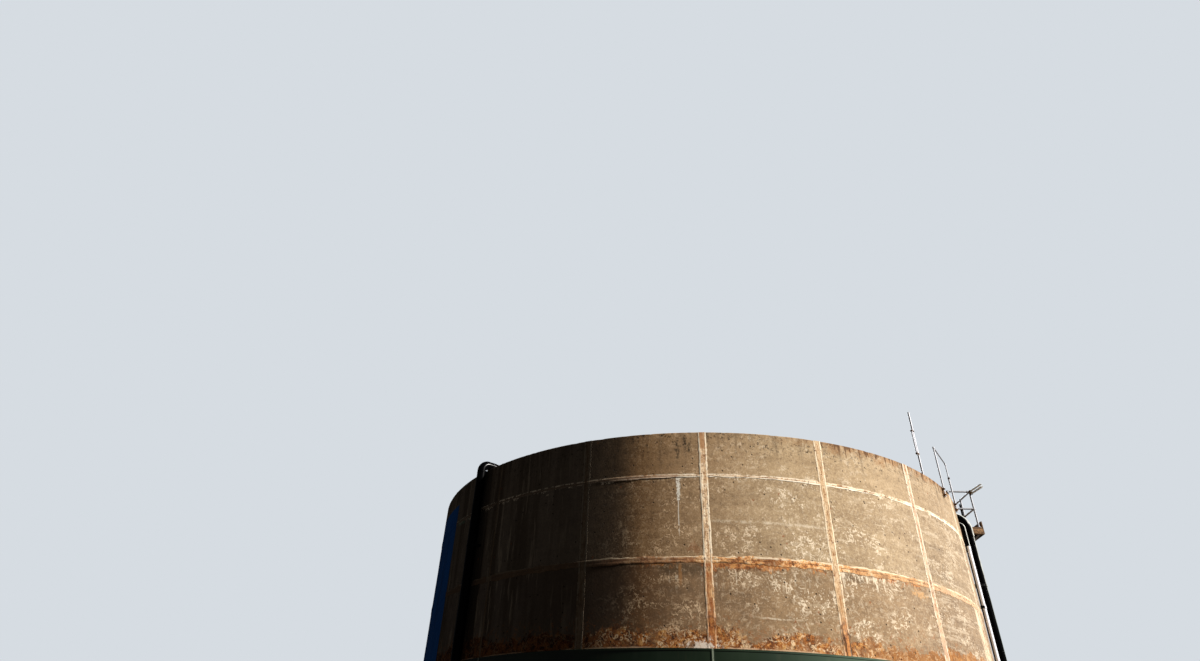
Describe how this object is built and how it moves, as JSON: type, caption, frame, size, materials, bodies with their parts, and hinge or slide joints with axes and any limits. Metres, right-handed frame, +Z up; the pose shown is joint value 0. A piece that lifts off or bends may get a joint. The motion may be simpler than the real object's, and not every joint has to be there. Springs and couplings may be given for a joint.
{
  "type": "vertical storage tank",
  "caption": "Open-topped round concrete tank with mortared panel joints, a green steel jacket at its foot, black pipes turned in over the rim, a small railed platform and an antenna mast.",
  "frame": {"origin": "centre of the tank's underside, on the tank axis at ground level", "axes": "+Z up along the tank axis; -Y is the side with the joint strip nearest the picture's camera, and the platform stands out along +X"},
  "size_m": [14.8849, 14.048, 9.69],
  "materials": {
    "concrete": "weathered board-marked concrete, stained and pitted",
    "mortar": "rough pale mortar, rust-stained lower down",
    "green_steel": "smooth dark green gloss paint",
    "black_pipe": "glossy black coating",
    "white_pipe": "smooth off-white",
    "rusty_steel": "rusted brown",
    "timber": "weathered brown",
    "galvanised": "dull galvanised",
    "white_tube": "white paint"
  },
  "bodies": {
    "root": {"floor_slab": "concrete", "wall_panel_01": "concrete", "wall_panel_02": "concrete", "wall_panel_03": "concrete", "wall_panel_04": "concrete", "wall_panel_05": "concrete", "wall_panel_06": "concrete", "wall_panel_07": "concrete", "wall_panel_08": "concrete", "wall_panel_09": "concrete", "wall_panel_10": "concrete", "wall_panel_11": "concrete", "wall_panel_12": "concrete", "wall_panel_13": "concrete", "wall_panel_14": "concrete", "wall_panel_15": "concrete", "wall_panel_16": "concrete", "wall_panel_17": "concrete", "wall_panel_18": "concrete", "joint_bands": "mortar", "jacket_plate_1": "green_steel", "jacket_plate_2": "green_steel", "jacket_plate_3": "green_steel", "jacket_plate_4": "green_steel", "jacket_plate_5": "green_steel", "jacket_plate_6": "green_steel", "jacket_plate_7": "green_steel", "jacket_plate_8": "green_steel", "jacket_plate_9": "green_steel", "jacket_trim": "green_steel", "left_pipe_riser": "black_pipe", "left_pipe_bend": "black_pipe", "right_pipe_riser": "black_pipe", "right_pipe_bend": "black_pipe", "small_pipe_bend": "black_pipe", "small_pipe_riser": "white_pipe", "small_pipe_flange": "rusty_steel", "left_pipe_clamp_low": "rusty_steel", "left_pipe_clamp_high": "rusty_steel", "right_pipe_clamp_low": "rusty_steel", "right_pipe_clamp_high": "rusty_steel", "small_pipe_clamp_low": "rusty_steel", "small_pipe_clamp_high": "rusty_steel", "platform_bracket_near": "rusty_steel", "platform_bracket_far": "rusty_steel", "platform_joists": "rusty_steel", "platform_deck": "timber", "platform_toe_board": "timber", "platform_rail_near": "galvanised", "platform_rail_outer": "galvanised", "platform_rail_far": "galvanised", "rim_guardrail": "galvanised", "antenna_mast": "galvanised", "platform_stub_tubes": "white_tube", "antenna_element": "white_tube"}
  },
  "joints": []
}
